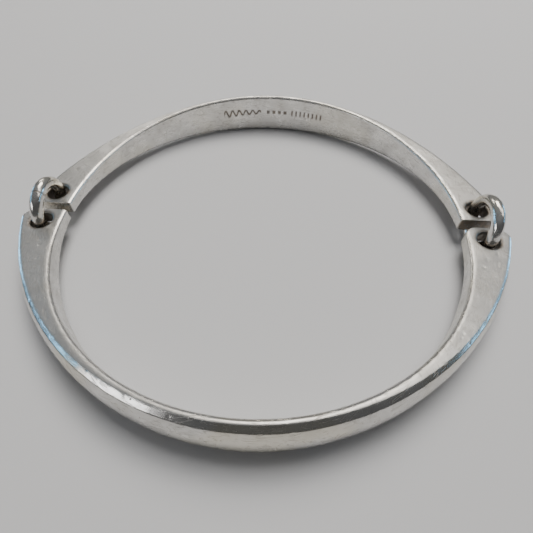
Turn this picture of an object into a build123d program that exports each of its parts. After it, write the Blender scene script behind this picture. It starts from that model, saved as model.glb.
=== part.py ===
from build123d import *
import os
from math import cos, pi, radians, sin

# A silver bangle: two equal half hoops, joined at both ends by a round wire link.
# Millimetres. The bangle lies flat on z = 0, with its opening facing up.
# +Z is up, +X runs across the opening from the left link to the right link,
# and +Y points to the back half.
# The origin is the centre of the opening, on the surface that the bangle lies on.

# ---- driving dimensions ----
opening_r = 30.75         # round wrist opening
middle_height = 7.2       # a half hoop is tallest in its middle
end_thickness = 2.2       # and flattens to a plate at its ends
height_power = 1.55       # how quickly the height grows away from the ends
middle_land = 1.5         # from the opening out to the crease, in the middle
end_land = 7.15           # and at the ends
land_power = 1.7          # how quickly that width shrinks away from the ends
middle_bulge = 0.95       # how far the outer face swells out past the crease
end_bulge = 0.3
shoulder = 0.8            # the sloping strip between the flat top and the crease
middle_drop = 0.5         # how far that strip falls
end_drop = 0.12
end_gap = 1.3             # free space between the ends of the two half hoops
gap_y = 0.25              # the gap's middle lies a little towards the back half

hole_r = 1.55             # the upright hole that a link passes through
hole_x = 33.8
hole_y = 3.2              # from the gap's middle
hole_rim = 0.4            # the hole's mouths are worn open

wire_r = 0.95             # the link's wire
link_r = 3.62             # the link's centre line
link_x = 33.8
link_z = 4.65             # the links hang just clear of the surface below
left_lean = 5.0           # degrees that a link's top leans towards +X
right_lean = 4.0

edge_r = 0.22             # softened edges along a half hoop
corner_r = 0.3            # inner end corners, seen from above
outer_corner_r = 2.4      # outer end corners
outer_corner_x = 34.95    # centre of that rounding
worn_corner_r = 1.8       # the front half's right inner corner is worn rounder

station_count = 17        # sections from one end of a half hoop to the other
bore_stock = 0.6          # metal left inside the opening, turned away to a true circle

mid_z = middle_height / 2
reach = opening_r + end_land + 5

os.makedirs("parts", exist_ok=True)


def blend(end_value, middle_value, turn):
    """A size that changes from its end value to its middle value with the height."""
    return end_value + (middle_value - end_value) * abs(sin(turn)) ** height_power


def land_width(turn):
    """Width from the opening out to the crease, at an angle from the end."""
    return middle_land + (end_land - middle_land) * (1 - sin(turn)) ** land_power


def station(turn, side):
    """Upright plane through the hoop's axis: its x runs outwards and its y runs up."""
    outwards = (cos(turn), side * sin(turn), 0)
    along = (side * sin(turn), -cos(turn), 0)
    return Plane(origin=(0, 0, mid_z), x_dir=outwards, z_dir=along)


def hoop_sections(side):
    """D-shaped sections from one end of a half hoop to the other."""
    sections = []
    for step in range(station_count):
        turn = pi * step / (station_count - 1)
        half = blend(end_thickness, middle_height, turn) / 2
        low = half - blend(end_drop, middle_drop, turn)
        inside = opening_r - bore_stock
        crease = opening_r + land_width(turn)
        flat = crease - shoulder
        swell = crease + blend(end_bulge, middle_bulge, turn)
        with BuildSketch(station(turn, side)) as section:
            with BuildLine():
                Polyline((crease, -low), (flat, -half), (inside, -half), (inside, half), (flat, half), (crease, low))
                ThreePointArc((crease, low), (swell, 0), (crease, -low))
            make_face()
        sections.append(section.sketch)
    return sections


def inner_corner(solid, x_side):
    """The upright inner corner edge of the end on one side."""
    short = solid.edges().filter_by(lambda edge: end_thickness - 0.2 < edge.length < end_thickness + 0.2)
    own_side = short.filter_by(lambda edge: x_side * edge.center().X > 0)
    return own_side.sort_by(lambda edge: abs(edge.center().X))[:1]


def outer_corner(x_side, y_side):
    """Draw what the rounding of an outer end corner takes off, seen from above."""
    centre = (x_side * outer_corner_x, gap_y + y_side * (end_gap / 2 + outer_corner_r))
    size = 3 * outer_corner_r
    towards_x = Align.MIN if x_side > 0 else Align.MAX
    towards_y = Align.MAX if y_side > 0 else Align.MIN
    with Locations(centre):
        Rectangle(size, size, align=(towards_x, towards_y))
        Circle(outer_corner_r, mode=Mode.SUBTRACT)


def opening_edges(solid):
    """The two long edges around the opening."""
    return solid.edges().filter_by(lambda edge: edge.length > 2 * opening_r).sort_by(reach_out)[:2]


def crease_edges(solid):
    """The two long creases between the shoulder strips and the outer face."""
    return solid.edges().filter_by(lambda edge: edge.length > 2 * opening_r).sort_by(reach_out)[-2:]


def reach_out(edge):
    """How far an edge's middle is from the hoop's axis."""
    return abs(edge.center().Y)


def hole_mouths(solid):
    """The round edges of the four hole mouths."""
    round_edges = solid.edges().filter_by(lambda edge: 6 * hole_r < edge.length < 7 * hole_r)
    return round_edges.filter_by(lambda edge: abs(abs(edge.bounding_box().center().X) - hole_x) < hole_r / 4)


# ---- back half ----
with BuildPart() as back_half:
    loft(hoop_sections(1))
    with BuildSketch(Plane.XY):
        Circle(opening_r)
    extrude(amount=middle_height, mode=Mode.SUBTRACT)
    with Locations((0, gap_y, mid_z)):
        Box(2 * reach, end_gap, 2 * middle_height, mode=Mode.SUBTRACT)
    fillet(inner_corner(back_half, -1) + inner_corner(back_half, 1), corner_r)
    with BuildSketch(Plane.XY):
        outer_corner(-1, 1)
        outer_corner(1, 1)
    extrude(amount=middle_height, mode=Mode.SUBTRACT)
    fillet(opening_edges(back_half), edge_r)
    fillet(crease_edges(back_half), edge_r)
    with BuildSketch(Plane.XY):
        with Locations((-hole_x, gap_y + hole_y), (hole_x, gap_y + hole_y)):
            Circle(hole_r)
    extrude(amount=middle_height, mode=Mode.SUBTRACT)
    fillet(hole_mouths(back_half), hole_rim)
back_half.part.label = "back_half"
export_step(back_half.part, "parts/back_half.step")

# ---- front half ----
with BuildPart() as front_half:
    loft(hoop_sections(-1))
    with BuildSketch(Plane.XY):
        Circle(opening_r)
    extrude(amount=middle_height, mode=Mode.SUBTRACT)
    with Locations((0, gap_y, mid_z)):
        Box(2 * reach, end_gap, 2 * middle_height, mode=Mode.SUBTRACT)
    fillet(inner_corner(front_half, -1), corner_r)
    fillet(inner_corner(front_half, 1), worn_corner_r)
    with BuildSketch(Plane.XY):
        outer_corner(-1, -1)
        outer_corner(1, -1)
    extrude(amount=middle_height, mode=Mode.SUBTRACT)
    fillet(opening_edges(front_half), edge_r)
    fillet(crease_edges(front_half), edge_r)
    with BuildSketch(Plane.XY):
        with Locations((-hole_x, gap_y - hole_y), (hole_x, gap_y - hole_y)):
            Circle(hole_r)
    extrude(amount=middle_height, mode=Mode.SUBTRACT)
    fillet(hole_mouths(front_half), hole_rim)
front_half.part.label = "front_half"
export_step(front_half.part, "parts/front_half.step")

# ---- left link ----
left_tilt = radians(left_lean)
left_plane = Plane(origin=(-link_x, gap_y, link_z), x_dir=(0, 1, 0), z_dir=(cos(left_tilt), 0, -sin(left_tilt)))
with BuildPart(left_plane) as link_left:
    Torus(link_r, wire_r)
link_left.part.label = "link_left"
export_step(link_left.part, "parts/link_left.step")

# ---- right link ----
right_tilt = radians(right_lean)
right_plane = Plane(origin=(link_x, gap_y, link_z), x_dir=(0, 1, 0), z_dir=(cos(right_tilt), 0, -sin(right_tilt)))
with BuildPart(right_plane) as link_right:
    Torus(link_r, wire_r)
link_right.part.label = "link_right"
export_step(link_right.part, "parts/link_right.step")
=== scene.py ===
import math

import bmesh
import bpy
import numpy as np
from mathutils import Matrix, Vector, noise


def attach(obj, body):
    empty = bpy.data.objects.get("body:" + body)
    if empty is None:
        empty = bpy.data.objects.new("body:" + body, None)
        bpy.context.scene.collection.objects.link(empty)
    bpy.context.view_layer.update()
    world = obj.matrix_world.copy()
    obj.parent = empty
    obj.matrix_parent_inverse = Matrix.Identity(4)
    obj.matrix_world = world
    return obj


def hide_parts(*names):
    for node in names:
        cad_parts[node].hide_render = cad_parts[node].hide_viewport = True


# Everything is made in millimetres here, and each mesh is scaled to metres at the end.
MM = 0.001

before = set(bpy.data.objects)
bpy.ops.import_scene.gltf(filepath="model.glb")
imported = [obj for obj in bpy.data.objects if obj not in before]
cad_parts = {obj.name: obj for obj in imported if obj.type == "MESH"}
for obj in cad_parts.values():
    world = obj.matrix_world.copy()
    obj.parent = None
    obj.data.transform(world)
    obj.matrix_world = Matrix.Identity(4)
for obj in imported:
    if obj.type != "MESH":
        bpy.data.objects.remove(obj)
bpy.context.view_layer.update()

# ---- sizes of the bangle, the same as the solids ----
OPENING_R = 30.75
MIDDLE_HEIGHT = 7.2
END_THICKNESS = 2.2
HEIGHT_POWER = 1.55
MIDDLE_LAND = 1.5
END_LAND = 7.15
LAND_POWER = 1.7
MIDDLE_BULGE = 0.95
END_BULGE = 0.3
MIDDLE_DROP = 0.5
END_DROP = 0.12
END_GAP = 1.3
GAP_Y = 0.25
MID_Z = MIDDLE_HEIGHT / 2

HOLE_R = 1.55
HOLE_X = 33.8
HOLE_Y = 3.2
HOLE_RIM = 0.4

WIRE_R = 0.95
LINK_R = 3.62
LINK_X = 33.8
LINK_Z = 4.65
LEFT_LEAN = 5.0
RIGHT_LEAN = 4.0

CORNER_R = 0.3
OUTER_CORNER_R = 2.4
OUTER_CORNER_X = 34.95
WORN_CORNER_R = 1.8

# ---- sizes that only the visible meshes have ----
MIDDLE_SHOULDER = 0.8
END_SHOULDER = 0.35
INNER_EDGE_WIDE = 0.75
INNER_EDGE_DEEP = 0.42
LEAST_FLAT = 0.02

# ---- how finely each stretch of the meshes is divided ----
STATIONS = 220
EDGE_STEPS = 8
FLAT_STEPS = 8
SHOULDER_STEPS = 4
OUTER_STEPS = 16
WALL_STEPS = 8
CORNER_STEPS = 16
HOLE_SIDES = 64
WIRE_SIDES = 64
LINK_STEPS = 260
VOXEL = 0.11
SMOOTH_SHARE = 0.5
SMOOTH_ROUNDS = 6

# ---- how far the cutting blocks reach past the metal ----
CUT_REACH = 60
CUT_LOW = -5
CUT_HIGH = 15
CORNER_REACH = 4
HOLE_REACH = 1

# ---- the plain punched ornament on the back half's inner wall, measured along the wall from its middle ----
RIPPLE_START = -9.8
RIPPLE_LENGTH = 7.6
RIPPLE_WAVES = 5.5
RIPPLE_SWING = 0.62
RIPPLE_FADE = 0.34
RIPPLE_EDGE = (0.24, 0.08)
SQUARES = 4
SQUARES_START = -0.7
SQUARES_PITCH = 1.15
SQUARES_EDGE = (0.36, 0.24)
STROKES = 8
STROKES_START = 4.2
STROKES_PITCH = 0.85
STROKES_SLIMNESS = 0.3
STROKES_EDGE = (0.22, 0.1)
MARKS_Z = 0.35
MARK_DEPTH = 0.09
MARKS_BEYOND_Y = 20

# ---- wear of the half hoops, and their painted shade. A region fades in between two values: none at the first, all at the second ----
WEAR = 0.036
SLOW_WEAR = 0.030
SLOW_WEAR_SCALE = 0.22
QUICK_WEAR = 0.010
QUICK_WEAR_SCALE = 0.7
KNOCKED_BELOW_X = 8
SHOULDER_REACH = 0.7
SHOULDER_TURN = 0.35
OFF_WALL = 0.4
PLATE_TURN = 0.7
PLATE_UPNESS = 0.97
NICK_STRETCH = 0.9
WALL_FADE = (0.3, 0.12)
FLAT_FADE = (0.9, 0.985)
# the hole walls and rims are darkened: partly tarnish in the hollow, partly painted shade
HOLE_FADE = (HOLE_R + HOLE_RIM + 0.5, HOLE_R + 0.1)
# the end faces across the gap are darkened as painted shade, more on the right end than on the left
END_FADE = (0.3, 0.0)
RIGHT_END_SHADE = 1.0
LEFT_END_SHADE = 0.3
WALL_SATIN = 0.55

# ---- wear of the wire links, and their painted shade ----
SEAM_DEEP = 0.035
SEAM_WIDE = 0.07
SEAM_GRIME = 0.9
SEAM_GRIME_WIDE = 0.14
# painted shade where the wire runs inside the plates, and on the wire's inner side
PLATE_SHADE = 0.75
INSIDE_SHADE = 0.35
RUB = 0.05
WIRE_WEAR = 0.014
WIRE_WEAR_ALONG = 3
WIRE_WEAR_AROUND = 0.5
LEFT_SEAM_TURN = 1.9
RIGHT_SEAM_TURN = 5.2


# ---------------------------------------------------------------- mesh helpers
def new_object(name, verts, faces):
    mesh = bpy.data.meshes.new(name)
    mesh.from_pydata([tuple(v) for v in verts], [], faces)
    mesh.update()
    obj = bpy.data.objects.new(name, mesh)
    bpy.context.collection.objects.link(obj)
    return obj


def fix_normals(obj):
    bm = bmesh.new()
    bm.from_mesh(obj.data)
    bmesh.ops.recalc_face_normals(bm, faces=bm.faces)
    bm.to_mesh(obj.data)
    bm.free()


def apply_modifiers(obj):
    depsgraph = bpy.context.evaluated_depsgraph_get()
    mesh = bpy.data.meshes.new_from_object(obj.evaluated_get(depsgraph))
    old = obj.data
    obj.modifiers.clear()
    obj.data = mesh
    bpy.data.meshes.remove(old)


def cut(obj, cutter):
    """Take the cutter's shape out of the object, and delete the cutter."""
    fix_normals(cutter)
    modifier = obj.modifiers.new("cut", "BOOLEAN")
    modifier.operation = "DIFFERENCE"
    modifier.solver = "EXACT"
    modifier.object = cutter
    apply_modifiers(obj)
    bpy.data.objects.remove(cutter)


def coordinates(mesh):
    flat = np.empty(len(mesh.vertices) * 3)
    mesh.vertices.foreach_get("co", flat)
    return flat.reshape(-1, 3)


def set_coordinates(mesh, points):
    mesh.vertices.foreach_set("co", np.asarray(points).ravel())
    mesh.update()


def point_normals(mesh):
    flat = np.empty(len(mesh.vertices) * 3)
    mesh.vertices.foreach_get("normal", flat)
    return flat.reshape(-1, 3)


def paint(obj, name, values):
    """Keep a number for each point, for the material to read."""
    layer = obj.data.attributes.new(name, "FLOAT", "POINT")
    layer.data.foreach_set("value", np.asarray(values, dtype=np.float32))


def prism(name, outline, low, high):
    """A straight-sided block from an outline seen from above."""
    count = len(outline)
    verts = [(x, y, low) for x, y in outline] + [(x, y, high) for x, y in outline]
    faces = [tuple(range(count)), tuple(range(count, 2 * count))]
    for i in range(count):
        j = (i + 1) % count
        faces.append((i, j, j + count, i + count))
    return new_object(name, verts, faces)


# ---------------------------------------------------------------- shape of a half hoop
def blend(end_value, middle_value, turn):
    """A size at an angle from the end: the end's at 0 and pi, and the middle's halfway between."""
    return end_value + (middle_value - end_value) * abs(math.sin(turn)) ** HEIGHT_POWER


def land_width(turn):
    return MIDDLE_LAND + (END_LAND - MIDDLE_LAND) * (1 - abs(math.sin(turn))) ** LAND_POWER


def arc_between(start, through, end, count):
    """Points on the circle through three points, without the first."""
    ax, ay = start
    bx, by = through
    cx, cy = end
    a_square = ax ** 2 + ay ** 2
    b_square = bx ** 2 + by ** 2
    c_square = cx ** 2 + cy ** 2
    divisor = 2 * (ax * (by - cy) + bx * (cy - ay) + cx * (ay - by))
    centre_x = (a_square * (by - cy) + b_square * (cy - ay) + c_square * (ay - by)) / divisor
    centre_y = (a_square * (cx - bx) + b_square * (ax - cx) + c_square * (bx - ax)) / divisor
    radius = math.hypot(ax - centre_x, ay - centre_y)
    first = math.atan2(ay - centre_y, ax - centre_x)
    last = math.atan2(cy - centre_y, cx - centre_x)
    points = []
    for k in range(1, count + 1):
        angle = first + (last - first) * k / count
        points.append((centre_x + radius * math.cos(angle), centre_y + radius * math.sin(angle)))
    return points


def profile(turn):
    """The D-shaped section at an angle from the end: distance from the axis, and height above the middle."""
    half = blend(END_THICKNESS, MIDDLE_HEIGHT, turn) / 2
    low = half - blend(END_DROP, MIDDLE_DROP, turn)
    crease = OPENING_R + land_width(turn)
    shoulder = blend(END_SHOULDER, MIDDLE_SHOULDER, turn)
    flat_end = crease - shoulder
    swell = crease + blend(END_BULGE, MIDDLE_BULGE, turn)
    upper = []
    for k in range(EDGE_STEPS + 1):
        angle = math.pi - k / EDGE_STEPS * math.pi / 2
        out = OPENING_R + INNER_EDGE_WIDE * (1 + math.cos(angle))
        upper.append((out, half - INNER_EDGE_DEEP * (1 - math.sin(angle))))
    flat_start = OPENING_R + INNER_EDGE_WIDE
    for k in range(1, FLAT_STEPS + 1):
        upper.append((flat_start + max(flat_end - flat_start, LEAST_FLAT) * k / FLAT_STEPS, half))
    for k in range(1, SHOULDER_STEPS + 1):
        upper.append((flat_end + shoulder * k / SHOULDER_STEPS, half + (low - half) * k / SHOULDER_STEPS))
    outer = arc_between((crease, low), (swell, 0), (crease, -low), OUTER_STEPS)
    lower = [(out, -height) for out, height in reversed(upper)]
    wall = half - INNER_EDGE_DEEP
    inner = [(OPENING_R, -wall + 2 * wall * k / WALL_STEPS) for k in range(1, WALL_STEPS)]
    return upper + outer[:-1] + lower + inner


def half_hoop(name, side):
    """A whole half ring of sections. Side is 1 for the back and -1 for the front."""
    verts = []
    faces = []
    for step in range(STATIONS + 1):
        turn = math.pi * step / STATIONS
        section = profile(turn)
        for out, height in section:
            verts.append((out * math.cos(turn), side * out * math.sin(turn), MID_Z + height))
    count = len(section)
    for step in range(STATIONS):
        for i in range(count):
            j = (i + 1) % count
            base = step * count
            faces.append((base + i, base + j, base + count + j, base + count + i))
    faces.append(tuple(range(count)))
    faces.append(tuple(range(STATIONS * count, (STATIONS + 1) * count)))
    obj = new_object(name, verts, faces)
    fix_normals(obj)
    return obj


def corner_outline(corner, x_way, y_way, radius):
    """What rounding a corner takes off, seen from above. The metal lies on its x_way, y_way side."""
    centre_x = corner[0] + x_way * radius
    centre_y = corner[1] + y_way * radius
    outline = []
    for k in range(CORNER_STEPS + 1):
        angle = k / CORNER_STEPS * math.pi / 2
        x = centre_x - x_way * radius * math.cos(angle)
        outline.append((x, centre_y - y_way * radius * math.sin(angle)))
    outline.append((centre_x, corner[1] - y_way * CORNER_REACH))
    outline.append((corner[0] - x_way * CORNER_REACH, corner[1] - y_way * CORNER_REACH))
    outline.append((corner[0] - x_way * CORNER_REACH, centre_y))
    return outline


def hole_cutter(name, x, y):
    """A round hole with both mouths worn open."""
    top = blend(END_THICKNESS, MIDDLE_HEIGHT, math.atan2(abs(y), abs(x))) / 2
    rows = [(HOLE_R + HOLE_RIM, top + HOLE_REACH)]
    for k in range(EDGE_STEPS + 1):
        angle = k / EDGE_STEPS * math.pi / 2
        wide = HOLE_R + HOLE_RIM - HOLE_RIM * math.sin(angle)
        rows.append((wide, top - HOLE_RIM + HOLE_RIM * math.cos(angle)))
    rows = rows + [(wide, -height) for wide, height in reversed(rows)]
    verts = []
    faces = []
    for wide, height in rows:
        for k in range(HOLE_SIDES):
            angle = 2 * math.pi * k / HOLE_SIDES
            verts.append((x + wide * math.cos(angle), y + wide * math.sin(angle), MID_Z + height))
    for row in range(len(rows) - 1):
        base = row * HOLE_SIDES
        for k in range(HOLE_SIDES):
            n = (k + 1) % HOLE_SIDES
            faces.append((base + k, base + n, base + HOLE_SIDES + n, base + HOLE_SIDES + k))
    faces.append(tuple(range(HOLE_SIDES)))
    faces.append(tuple(range((len(rows) - 1) * HOLE_SIDES, len(rows) * HOLE_SIDES)))
    return new_object(name, verts, faces)


def end_place(side):
    """Where a half's two end faces are, along Y."""
    return GAP_Y + side * END_GAP / 2


def cut_ends(obj, side):
    """Saw a half off at the gap, round its end corners and drill its two holes."""
    near = end_place(-1)
    far = end_place(1)
    low_y = near - CUT_REACH * (side > 0)
    high_y = far + CUT_REACH * (side < 0)
    gap = [(-CUT_REACH, low_y), (CUT_REACH, low_y), (CUT_REACH, high_y), (-CUT_REACH, high_y)]
    cut(obj, prism("gap", gap, CUT_LOW, CUT_HIGH))
    for x_side in (-1, 1):
        corner = (x_side * (OUTER_CORNER_X + OUTER_CORNER_R), end_place(side))
        outline = corner_outline(corner, -x_side, side, OUTER_CORNER_R)
        cut(obj, prism("outer", outline, CUT_LOW, CUT_HIGH))
        worn = side < 0 and x_side > 0
        corner = (x_side * OPENING_R, end_place(side))
        outline = corner_outline(corner, x_side, side, WORN_CORNER_R if worn else CORNER_R)
        cut(obj, prism("inner", outline, CUT_LOW, CUT_HIGH))
        cut(obj, hole_cutter("hole", x_side * HOLE_X, GAP_Y + side * HOLE_Y))


def even_mesh(obj):
    """Rebuild the surface from small even faces, and soften its edges a little."""
    remesh = obj.modifiers.new("remesh", "REMESH")
    remesh.mode = "VOXEL"
    remesh.voxel_size = VOXEL
    remesh.use_smooth_shade = True
    apply_modifiers(obj)
    smooth = obj.modifiers.new("smooth", "SMOOTH")
    smooth.factor = SMOOTH_SHARE
    smooth.iterations = SMOOTH_ROUNDS
    apply_modifiers(obj)


# ---------------------------------------------------------------- wear of a half hoop
def smooth_step(low, high, value):
    """From 0 at low to 1 at high, gently. Low may be the larger one."""
    share = np.clip((value - low) / (high - low), 0, 1)
    return share * share * (3 - 2 * share)


def hand_work(points, normals, seed):
    """The slow unevenness that filing and years of wear leave, always inwards."""
    out = np.empty(len(points))
    shift = Vector((seed, -seed, 2 * seed))
    for i, point in enumerate(points):
        spot = Vector(point)
        slow = noise.noise(spot * SLOW_WEAR_SCALE + shift) * SLOW_WEAR
        out[i] = slow + noise.noise(spot * QUICK_WEAR_SCALE + shift) * QUICK_WEAR
    out -= WEAR
    return points + normals * out[:, None]


def nicks(points, normals, where, count, size, deep, seed):
    """Small nicks pressed in at random places of a region."""
    draw = np.random.default_rng(seed)
    region = np.nonzero(where)[0]
    depth = np.zeros(len(points))
    for spot in draw.choice(region, count):
        wide = draw.uniform(*size)
        away = points - points[spot]
        way = draw.normal(size=3)
        way /= np.linalg.norm(way)
        along = away @ way
        square = (away * away).sum(1) - draw.uniform(0, NICK_STRETCH) * along * along
        distance = np.sqrt(np.maximum(square, 0))
        depth = np.maximum(depth, draw.uniform(*deep) * np.exp(-(distance / wide) ** 2))
    return points - normals * depth[:, None]


def punch_marks(arc, height):
    """How deeply the wall is punched: 1 on the ripple, the squares and the strokes, and 0 beside them."""
    share = np.clip((arc - RIPPLE_START) / RIPPLE_LENGTH, 0, 1)
    swing = RIPPLE_SWING - RIPPLE_FADE * share
    turns = 2 * math.pi * share * RIPPLE_WAVES
    slope = swing * np.cos(turns) * 2 * math.pi * RIPPLE_WAVES / RIPPLE_LENGTH
    off_line = np.abs(height - MARKS_Z - swing * np.sin(turns)) / np.sqrt(1 + slope * slope)
    inside = (arc > RIPPLE_START) & (arc < RIPPLE_START + RIPPLE_LENGTH)
    depth = inside * smooth_step(*RIPPLE_EDGE, off_line)
    for k in range(SQUARES):
        across = np.abs(arc - SQUARES_START - SQUARES_PITCH * k)
        off = np.maximum(across, np.abs(height - MARKS_Z))
        depth = np.maximum(depth, smooth_step(*SQUARES_EDGE, off))
    for k in range(STROKES):
        across = np.abs(arc - STROKES_START - STROKES_PITCH * k)
        off = np.maximum(across, STROKES_SLIMNESS * np.abs(height - MARKS_Z))
        depth = np.maximum(depth, smooth_step(*STROKES_EDGE, off))
    return depth


def wear_half(obj, side, seed):
    """Wear the surface, punch the ornament, and paint the tarnish and the painted shade, and where the metal
    is satin.
    """
    points = coordinates(obj.data)
    normals = point_normals(obj.data)
    radius = np.hypot(points[:, 0], points[:, 1])
    height = points[:, 2] - MID_Z
    arc = np.arctan2(points[:, 0], points[:, 1]) * OPENING_R
    turn = np.arctan2(np.abs(points[:, 1]), np.abs(points[:, 0]))
    crease = OPENING_R + MIDDLE_LAND + (END_LAND - MIDDLE_LAND) * (1 - np.sin(turn)) ** LAND_POWER
    on_wall = smooth_step(*WALL_FADE, radius - OPENING_R)
    on_flat = smooth_step(*FLAT_FADE, np.abs(normals[:, 2]))
    # darkening in the holes: partly tarnish, partly painted shade
    hole_away = np.hypot(np.abs(points[:, 0]) - HOLE_X, points[:, 1] - GAP_Y - side * HOLE_Y)
    in_hole = smooth_step(*HOLE_FADE, hole_away)
    # painted shade on the end faces in the gap between the halves, stronger on the right
    end_shade = np.where(points[:, 0] > 0, RIGHT_END_SHADE, LEFT_END_SHADE)
    on_end = smooth_step(*END_FADE, np.abs(points[:, 1] - end_place(side))) * end_shade
    marks = punch_marks(arc, height) * on_wall * (points[:, 1] > MARKS_BEYOND_Y)

    points = hand_work(points, normals, seed)
    upper = height > 0
    shoulder = upper & (np.abs(radius - crease) < SHOULDER_REACH) & (turn > SHOULDER_TURN)
    knocked = shoulder & (points[:, 0] < KNOCKED_BELOW_X)
    off_wall = radius > OPENING_R + OFF_WALL
    plates = upper & (normals[:, 2] > PLATE_UPNESS) & (turn < PLATE_TURN)
    # a region, how many nicks, how wide and how deep they are, and what their seed adds
    for where, count, size, deep, more_seed in (
        (knocked, 30 if side < 0 else 12, (0.16, 0.36), (0.010, 0.028), 41),
        (shoulder, 24, (0.14, 0.30), (0.010, 0.030), 32),
        (off_wall, 90, (0.09, 0.20), (0.008, 0.025), 23),
        (plates, 34, (0.10, 0.22), (0.012, 0.030), 54),
    ):
        points = nicks(points, normals, where, count, size, deep, seed + more_seed)
    points = points - normals * (MARK_DEPTH * marks)[:, None]
    points[:, 2] = np.maximum(points[:, 2], 0.0)
    set_coordinates(obj.data, points * MM)
    # one mask for tarnish in the punched marks and painted shade on the end faces; in the holes it is partly
    # each
    paint(obj, "tarnish_and_shade", np.maximum(np.maximum(in_hole, on_end), marks))
    paint(obj, "satin", np.maximum(on_flat, WALL_SATIN * on_wall))
    obj.data.shade_smooth()


# ---------------------------------------------------------------- wire links
def link(name, x, lean, seam_turn, seed):
    """A bent wire ring with a soldered joint."""
    tilt = math.radians(lean)
    middle = Vector((x, GAP_Y, LINK_Z))
    along = Vector((0, 1, 0))
    up = Vector((math.sin(tilt), 0, math.cos(tilt)))
    across = along.cross(up)
    verts = []
    faces = []
    tarnish_and_shade = []
    for a in range(LINK_STEPS):
        turn = 2 * math.pi * a / LINK_STEPS
        out = math.cos(turn) * along + math.sin(turn) * up
        away = abs((turn - seam_turn + math.pi) % (2 * math.pi) - math.pi) * LINK_R
        seam = -SEAM_DEEP * math.exp(-(away / SEAM_WIDE) ** 2)
        seam_grime = SEAM_GRIME * math.exp(-(away / SEAM_GRIME_WIDE) ** 2)
        for b in range(WIRE_SIDES):
            angle = 2 * math.pi * b / WIRE_SIDES
            inward = max(0.0, -math.cos(angle))
            spot = Vector((math.cos(turn) * WIRE_WEAR_ALONG, math.sin(turn) * WIRE_WEAR_ALONG, seed))
            spot = spot + Vector((math.cos(angle), math.sin(angle), 0)) * WIRE_WEAR_AROUND
            # the wire is rubbed thin on its inner side, most where it runs through the plates
            rub = RUB * inward * (0.5 + 0.5 * math.cos(2 * turn))
            radius = WIRE_R - WIRE_WEAR + seam - rub + WIRE_WEAR * noise.noise(spot)
            point = middle + out * (LINK_R + radius * math.cos(angle)) + across * (radius * math.sin(angle))
            verts.append(point)
            # painted shade where the wire runs inside the plates and on its inner side; the soldered seam's
            # tarnish is real
            in_plate = max(0.0, 1 - abs(point.z - MID_Z) / END_THICKNESS)
            tarnish_and_shade.append(max(PLATE_SHADE * in_plate, seam_grime, INSIDE_SHADE * inward))
    for a in range(LINK_STEPS):
        for b in range(WIRE_SIDES):
            this = a * WIRE_SIDES
            following = (a + 1) % LINK_STEPS * WIRE_SIDES
            n = (b + 1) % WIRE_SIDES
            faces.append((this + b, following + b, following + n, this + n))
    obj = new_object(name, [v * MM for v in verts], faces)
    fix_normals(obj)
    paint(obj, "tarnish_and_shade", tarnish_and_shade)
    paint(obj, "satin", [0.0] * len(tarnish_and_shade))
    obj.data.shade_smooth()
    return obj


# ---------------------------------------------------------------- the four pieces
back = half_hoop("back_hoop", 1)
front = half_hoop("front_hoop", -1)
for half, half_side, half_seed in ((back, 1, 3), (front, -1, 8)):
    cut_ends(half, half_side)
    even_mesh(half)
    wear_half(half, half_side, half_seed)
left = link("left_ring", -LINK_X, LEFT_LEAN, LEFT_SEAM_TURN, 2)
right = link("right_ring", LINK_X, RIGHT_LEAN, RIGHT_SEAM_TURN, 5)

for piece, body, node, slot in (
    (back, "back", "back_half", "hoop_silver"),
    (front, "front", "front_half", "hoop_silver"),
    (left, "left_link", "link_left", "wire_silver"),
    (right, "right_link", "link_right", "wire_silver"),
):
    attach(piece, body)
    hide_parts(node)


# ---------------------------------------------------------------- materials
WARM_SILVER = (0.74, 0.725, 0.695, 1)
HAZY_SILVER = (0.62, 0.605, 0.575, 1)
# a yellow tint: partly tarnish, partly a painted warm glow
YELLOW_TARNISH_AND_GLOW = (0.70, 0.645, 0.50, 1)
# the two dark colours are tarnish in the recesses and also painted shade between the parts
DARK_TARNISH_AND_SHADE = (0.085, 0.07, 0.058, 1)
BROWN_TARNISH_AND_SHADE = (0.25, 0.20, 0.155, 1)
DIRT_IN_SCRATCHES = (0.22, 0.19, 0.16, 1)


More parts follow.
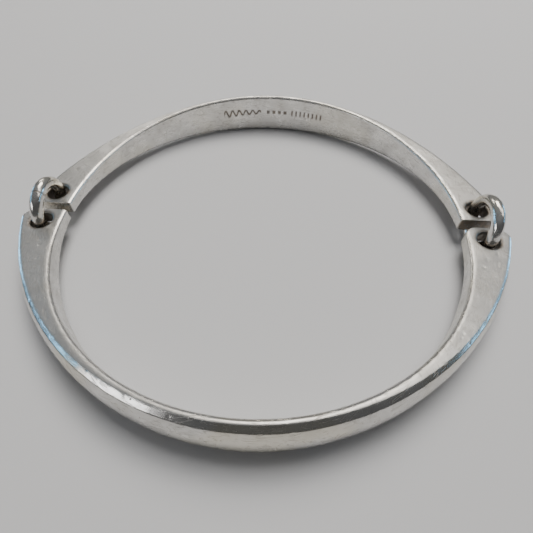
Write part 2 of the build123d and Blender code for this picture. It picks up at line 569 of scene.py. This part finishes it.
class Graph:
    """A short way to write a material's nodes. A value is a number, a colour or another node's output."""

    def __init__(self, name):
        self.material = bpy.data.materials.new(name)
        self.material.use_nodes = True
        self.tree = self.material.node_tree
        self.shader = self.tree.nodes["Principled BSDF"]

    def feed(self, socket, value):
        if isinstance(value, bpy.types.NodeSocket):
            self.tree.links.new(value, socket)
        else:
            socket.default_value = value

    def node(self, kind, values, **settings):
        made = self.tree.nodes.new(kind)
        for key, setting in settings.items():
            setattr(made, key, setting)
        for key, value in values.items():
            self.feed(made.inputs[key], value)
        return made

    def math(self, operation, *values, clamp=False):
        made = self.node("ShaderNodeMath", dict(enumerate(values)), operation=operation, use_clamp=clamp)
        return made.outputs[0]

    def add(self, first, second):
        return self.math("ADD", first, second)

    def subtract(self, first, second):
        return self.math("SUBTRACT", first, second)

    def multiply(self, first, second):
        return self.math("MULTIPLY", first, second)

    def larger(self, first, second):
        return self.math("MAXIMUM", first, second)

    def stretch(self, vector, scale, turn=0.0):
        """Coordinates turned about Z and then scaled along each axis."""
        turned = self.node("ShaderNodeVectorRotate", {"Vector": vector, "Angle": math.radians(turn)})
        made = self.node("ShaderNodeVectorMath", {0: turned.outputs[0], 1: scale}, operation="MULTIPLY")
        return made.outputs[0]

    def noise(self, vector, scale, detail=2.0, roughness=0.5):
        values = {"Vector": vector, "Scale": scale, "Detail": detail, "Roughness": roughness}
        return self.node("ShaderNodeTexNoise", values).outputs["Fac"]

    def span(self, value, low, high, to_low=0.0, to_high=1.0):
        """The value carried smoothly from one span to another."""
        values = {"Value": value, "From Min": low, "From Max": high, "To Min": to_low, "To Max": to_high}
        made = self.node("ShaderNodeMapRange", values, interpolation_type="SMOOTHSTEP")
        return made.outputs["Result"]

    def mix(self, share, first, second):
        """A colour between two colours. The sockets are picked by number, as several share one name."""
        made = self.node("ShaderNodeMix", {"Factor": share}, data_type="RGBA")
        self.feed(made.inputs[6], first)
        self.feed(made.inputs[7], second)
        return made.outputs[2]

    def attribute(self, name):
        return self.node("ShaderNodeAttribute", {}, attribute_name=name).outputs["Fac"]

    def along_band(self, spot):
        """Coordinates along the band: the way round, the distance from the axis, and the height."""
        split = self.node("ShaderNodeSeparateXYZ", {0: spot})
        x, y, z = split.outputs
        arc = self.multiply(self.math("ARCTAN2", y, x), OPENING_R)
        radius = self.math("SQRT", self.add(self.math("POWER", x, 2.0), self.math("POWER", y, 2.0)))
        return self.node("ShaderNodeCombineXYZ", {0: arc, 1: radius, 2: z}).outputs[0]

    def hairlines(self, vector, turn, scale, patch_turn):
        """Short fine scratches in one direction: thin contour lines of a stretched noise, broken up."""
        lines = self.noise(self.stretch(vector, (0.14 * scale, 1.5 * scale, 1.5 * scale), turn), 1.0, 1.0)
        near = self.math("ABSOLUTE", self.subtract(lines, 0.5))
        thin = self.span(near, 0.030, 0.010)
        patches = self.noise(self.stretch(vector, (0.5, 0.5, 0.5), patch_turn), 1.0, 2.0)
        return self.multiply(thin, self.span(patches, 0.5, 0.62))

    def pits(self, spot):
        """Small round pits, in about half of the cells that the surface is divided into."""
        cells = self.node("ShaderNodeTexVoronoi", {"Vector": spot, "Scale": 0.8})
        chosen = self.node("ShaderNodeSeparateColor", {0: cells.outputs["Color"]}).outputs[0]
        size = self.add(self.multiply(self.span(chosen, 0.55, 1.0), 0.13), 0.0001)
        return self.math("SUBTRACT", 1.0, self.math("DIVIDE", cells.outputs["Distance"], size), clamp=True)


def worn_silver(name, satin_roughness, shine_roughness):
    """Old sterling silver: satin flats, worn bright edges, hairlines, pits and tarnish in the recesses, with
    painted shade between the parts and a painted warm glow in the yellow tint.
    """
    graph = Graph(name)
    place = graph.node("ShaderNodeTexCoord", {}).outputs["Object"]
    spot = graph.node("ShaderNodeVectorMath", {0: place, "Scale": 1 / MM}, operation="SCALE").outputs[0]
    along = graph.along_band(spot)

    satin = graph.attribute("satin")
    tarnish_and_shade = graph.attribute("tarnish_and_shade")
    haze = graph.noise(spot, 0.32, 4.0, 0.6)
    mottle = graph.noise(spot, 1.7, 4.0, 0.65)
    brushed = graph.noise(graph.stretch(along, (0.35, 7.0, 7.0)), 1.0, 3.0, 0.6)
    grain = graph.noise(spot, 11.0, 2.0, 0.6)
    pits = graph.pits(spot)
    hairs = graph.hairlines(along, 12, 1.0, 10)
    for turn, scale, patch_turn in ((-16, 1.2, 65), (22, 0.9, 135), (-6, 1.5, 245)):
        hairs = graph.larger(hairs, graph.hairlines(along, turn, scale, patch_turn))
    # scratches across the band show only on the satin plates
    crosswise = graph.multiply(graph.hairlines(along, 71, 0.9, 110), graph.span(satin, 0.6, 1.0))
    hairs = graph.larger(hairs, crosswise)

    # colour: bright warm silver, a thin haze that comes and goes, a yellow tint that is partly tarnish and
    # partly a painted warm glow, and a dark brown that is sulphide in the punched marks and the seam and
    # painted shade on the end faces, in the holes and on the wire in the plates
    clean = graph.mix(graph.span(haze, 0.38, 0.66), WARM_SILVER, HAZY_SILVER)
    # a yellow tint in broad patches off the satin flats: partly yellow tarnish, partly a painted warm glow
    yellow_tarnish_and_glow = graph.multiply(graph.span(graph.noise(spot, 0.11, 2.0), 0.46, 0.66), 0.5)
    yellow_tarnish_and_glow = graph.multiply(yellow_tarnish_and_glow, graph.subtract(1.0, satin))
    clean = graph.mix(yellow_tarnish_and_glow, clean, YELLOW_TARNISH_AND_GLOW)
    # the dark mix is real tarnish in the marks and seam, and painted shade on the end faces, in the holes and
    # on the wire inside the plates
    tarnish_and_shade_share = graph.multiply(tarnish_and_shade, graph.span(mottle, 0.25, 0.6, 0.62, 1.0))
    tarnish_and_shade_color = graph.mix(graph.span(mottle, 0.4, 0.62), DARK_TARNISH_AND_SHADE, BROWN_TARNISH_AND_SHADE)
    tarnished_and_shaded = graph.mix(graph.multiply(tarnish_and_shade_share, 0.88), clean, tarnish_and_shade_color)
    scored = graph.larger(graph.multiply(pits, 0.7), graph.multiply(hairs, 0.3))
    graph.feed(graph.shader.inputs["Base Color"], graph.mix(scored, tarnished_and_shaded, DIRT_IN_SCRATCHES))
    graph.shader.inputs["Metallic"].default_value = 1

    # roughness: polished where worn, satin on the flats, streaky along the band
    rough = graph.span(satin, 0.0, 1.0, shine_roughness, satin_roughness)
    rough = graph.add(rough, graph.multiply(graph.subtract(brushed, 0.5), 0.16))
    rough = graph.add(rough, graph.multiply(graph.subtract(haze, 0.5), 0.22))
    rough = graph.add(rough, graph.multiply(tarnish_and_shade, 0.25))
    rough = graph.add(rough, graph.multiply(hairs, 0.12))
    graph.feed(graph.shader.inputs["Roughness"], graph.math("MINIMUM", graph.larger(rough, 0.08), 0.8))

    # relief, in millimetres: file marks, grain, hairlines and pits
    relief = graph.multiply(brushed, graph.span(satin, 0.0, 1.0, 0.003, 0.010))
    relief = graph.add(relief, graph.multiply(grain, graph.span(satin, 0.0, 1.0, 0.0008, 0.0028)))
    relief = graph.add(relief, graph.multiply(mottle, graph.span(satin, 0.0, 1.0, 0.003, 0.012)))
    relief = graph.subtract(relief, graph.multiply(hairs, 0.004))
    relief = graph.subtract(relief, graph.multiply(pits, 0.03))
    bump = graph.node("ShaderNodeBump", {"Height": relief, "Distance": MM, "Strength": 1.0})
    graph.feed(graph.shader.inputs["Normal"], bump.outputs[0])
    return graph.material


hoop_silver = worn_silver("hoop_silver", 0.36, 0.19)
wire_silver = worn_silver("wire_silver", 0.3, 0.14)
for piece, silver in ((back, hoop_silver), (front, hoop_silver), (left, wire_silver), (right, wire_silver)):
    piece.data.materials.clear()
    piece.data.materials.append(silver)


# ---------------------------------------------------------------- stage
# The camera's place is in millimetres and its angles are in degrees: down, to the side and tilted.
CAMERA_PLACE = (3.50, -40.93, 45.65)
CAMERA_PITCH = 52.78
CAMERA_YAW = -3.98
CAMERA_ROLL = -0.33
SENSOR_WIDTH = 36
LENS = 24.98
CAMERA_SHIFT = 0.002
CLIP_START = 0.001

# From here on, places and sizes are in metres.
FLOOR_REACH = 2
FLOOR_COLOR = (0.62, 0.62, 0.63, 1)

WARM_LIGHT = (1.0, 0.96, 0.89)
BLUE_LIGHT = (0.28, 0.64, 1.0)

DOME_COLOR = (0.95, 0.97, 1.0, 1)
DOME_BRIGHT_WAY = (0, 0.5, 0.87)
DOME_DARK = 0.10
DOME_BRIGHT = 0.27


def make_camera():
    pitch = math.radians(CAMERA_PITCH)
    yaw = math.radians(CAMERA_YAW)
    roll = math.radians(CAMERA_ROLL)
    look = Vector((math.sin(yaw) * math.cos(pitch), math.cos(yaw) * math.cos(pitch), -math.sin(pitch)))
    level_right = look.cross(Vector((0, 0, 1))).normalized()
    level_up = level_right.cross(look)
    right_way = math.cos(roll) * level_right + math.sin(roll) * level_up
    up_way = -math.sin(roll) * level_right + math.cos(roll) * level_up
    data = bpy.data.cameras.new("camera")
    data.sensor_width = SENSOR_WIDTH
    data.lens = LENS
    data.shift_x = CAMERA_SHIFT
    data.clip_start = CLIP_START
    camera = bpy.data.objects.new("camera", data)
    bpy.context.collection.objects.link(camera)
    turn = Matrix((right_way, up_way, -look)).transposed()
    camera.matrix_world = Matrix.Translation(Vector(CAMERA_PLACE) * MM) @ turn.to_4x4()
    bpy.context.scene.camera = camera


def make_floor():
    """A plain pale matte floor."""
    corners = [(-1, -1), (1, -1), (1, 1), (-1, 1)]
    verts = [(x * FLOOR_REACH, y * FLOOR_REACH, 0) for x, y in corners]
    floor = new_object("floor", verts, [(0, 1, 2, 3)])
    pale = bpy.data.materials.new("pale")
    pale.use_nodes = True
    shader = pale.node_tree.nodes["Principled BSDF"]
    shader.inputs["Base Color"].default_value = FLOOR_COLOR
    shader.inputs["Roughness"].default_value = 1.0
    shader.inputs["Specular IOR Level"].default_value = 0.0
    floor.data.materials.append(pale)


def soft_light(name, place, size, energy, color, in_silver=True, on_floor=True):
    """A softbox aimed at the bangle. It may light only the floor, or be only a reflection in the silver."""
    data = bpy.data.lights.new(name, "AREA")
    data.shape = "RECTANGLE"
    data.size = size[0]
    data.size_y = size[1]
    data.energy = energy
    data.color = color
    lamp = bpy.data.objects.new(name, data)
    bpy.context.collection.objects.link(lamp)
    lamp.location = place
    lamp.rotation_euler = (-Vector(place)).to_track_quat("-Z", "Y").to_euler()
    lamp.visible_glossy = in_silver
    lamp.visible_diffuse = on_floor


def studio_dome():
    """A plain grey dome, lightest overhead and behind the bangle, and darker in front and low down."""
    world = bpy.context.scene.world or bpy.data.worlds.new("world")
    bpy.context.scene.world = world
    world.use_nodes = True
    tree = world.node_tree
    way = tree.nodes.new("ShaderNodeTexCoord")
    lean = tree.nodes.new("ShaderNodeVectorMath")
    lean.operation = "DOT_PRODUCT"
    lean.inputs[1].default_value = DOME_BRIGHT_WAY
    tree.links.new(way.outputs["Generated"], lean.inputs[0])
    strength = tree.nodes.new("ShaderNodeMapRange")
    strength.interpolation_type = "SMOOTHSTEP"
    strength.inputs["From Min"].default_value = 0.15
    strength.inputs["From Max"].default_value = 0.85
    strength.inputs["To Min"].default_value = DOME_DARK
    strength.inputs["To Max"].default_value = DOME_BRIGHT
    tree.links.new(lean.outputs["Value"], strength.inputs["Value"])
    background = tree.nodes["Background"]
    tree.links.new(strength.outputs["Result"], background.inputs["Strength"])
    background.inputs["Color"].default_value = DOME_COLOR


make_camera()
make_floor()
# each lamp: its place, its two sides, its power in watts and its colour
soft_light("overhead", (0.06, 0.22, 0.60), (0.34, 0.34), 2.7, (1.0, 0.985, 0.96), in_silver=False)
soft_light("key", (0.05, 0.33, 0.50), (0.28, 0.26), 1.4, (1.0, 0.945, 0.86))
soft_light("right_fill", (0.22, 0.17, 0.55), (0.26, 0.26), 0.42, (1.0, 0.97, 0.92))
soft_light("right_wash", (0.42, 0.06, 0.44), (0.24, 0.24), 0.36, WARM_LIGHT, on_floor=False)
soft_light("left_window", (-0.50, -0.34, 0.27), (0.30, 0.17), 0.62, (0.98, 0.98, 1.0), on_floor=False)
soft_light("left_wash", (-0.24, 0.47, 0.29), (0.20, 0.16), 0.26, WARM_LIGHT, on_floor=False)
soft_light("left_edge", (-0.60, -0.03, 0.21), (0.30, 0.06), 0.19, BLUE_LIGHT, on_floor=False)
soft_light("left_rim", (-0.60, 0.24, 0.07), (0.17, 0.17), 0.4, BLUE_LIGHT, on_floor=False)
soft_light("right_edge", (0.60, 0.04, 0.17), (0.22, 0.06), 0.13, BLUE_LIGHT, on_floor=False)
soft_light("right_rim", (0.58, 0.28, 0.07), (0.15, 0.15), 0.32, BLUE_LIGHT, on_floor=False)
studio_dome()
